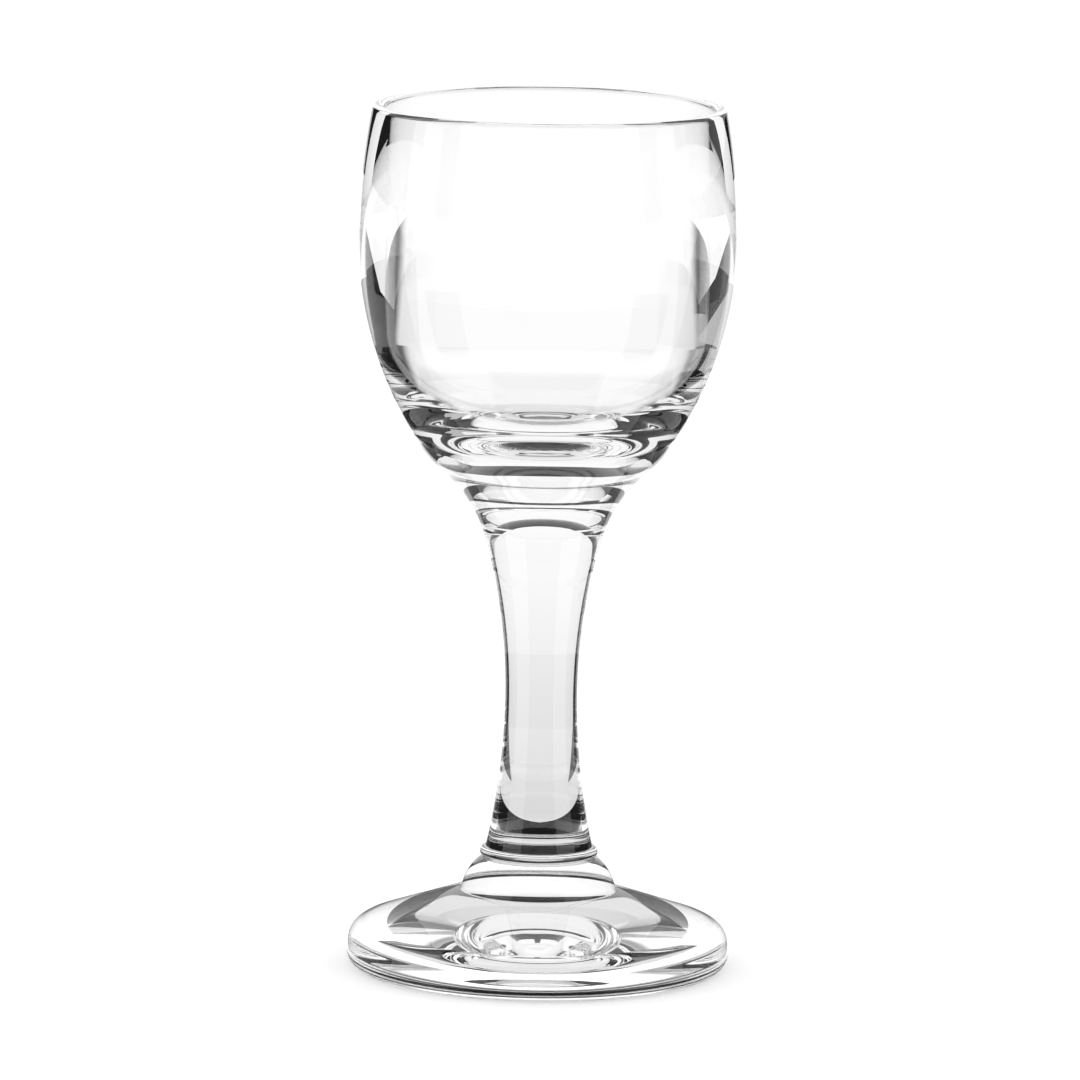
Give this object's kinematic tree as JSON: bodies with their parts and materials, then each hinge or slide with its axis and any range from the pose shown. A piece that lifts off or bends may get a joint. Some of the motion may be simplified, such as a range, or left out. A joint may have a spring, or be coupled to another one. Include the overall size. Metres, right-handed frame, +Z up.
{
  "type": "sherry glass",
  "caption": "Small clear pressed sherry glass: egg-shaped bowl with a rounded lip and heavy base, solid waisted stem, ringed collar and domed foot, for pouring and sipping fortified wine.",
  "frame": {"origin": "centre of the foot's resting ring, on the table", "axes": "+Z up along the axis of the glass, X and Y across the foot"},
  "size_m": [0.0458, 0.0458, 0.104],
  "materials": {
    "bowl_glass": "clear fire-polished soda glass",
    "stem_glass": "clear drawn soda glass",
    "collar_glass": "clear pressed soda glass",
    "foot_glass": "clear pressed soda glass"
  },
  "bodies": {
    "root": {"bowl": "bowl_glass", "stem": "stem_glass", "collar": "collar_glass", "foot": "foot_glass"}
  },
  "joints": []
}
